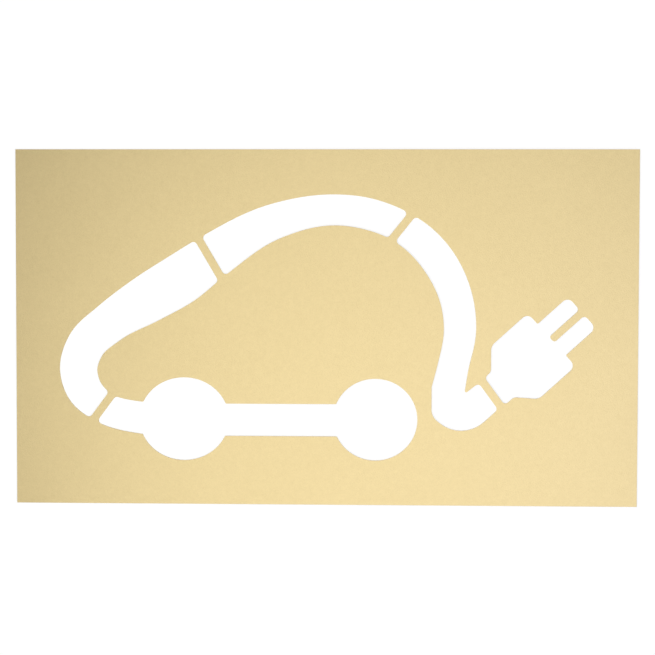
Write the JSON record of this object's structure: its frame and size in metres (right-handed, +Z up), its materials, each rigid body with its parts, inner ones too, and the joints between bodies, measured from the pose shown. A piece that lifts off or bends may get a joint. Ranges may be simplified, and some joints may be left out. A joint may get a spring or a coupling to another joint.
{
  "type": "road marking stencil",
  "caption": "Thin flat sheet with an electric-car figure, drawn by a cable that ends in a plug, cut right through it for painting the sign on a road or parking space.",
  "frame": {"origin": "under the middle of the sheet, on its underside", "axes": "+X along the sheet's length, from the car's nose to its plug; +Y towards the car's roof; +Z up out of the sheet's top face"},
  "size_m": [0.7, 0.4, 0.002],
  "materials": {
    "sheet": "fine matte grain, pale straw"
  },
  "bodies": {
    "root": {"stencil_sheet": "sheet"}
  },
  "joints": []
}
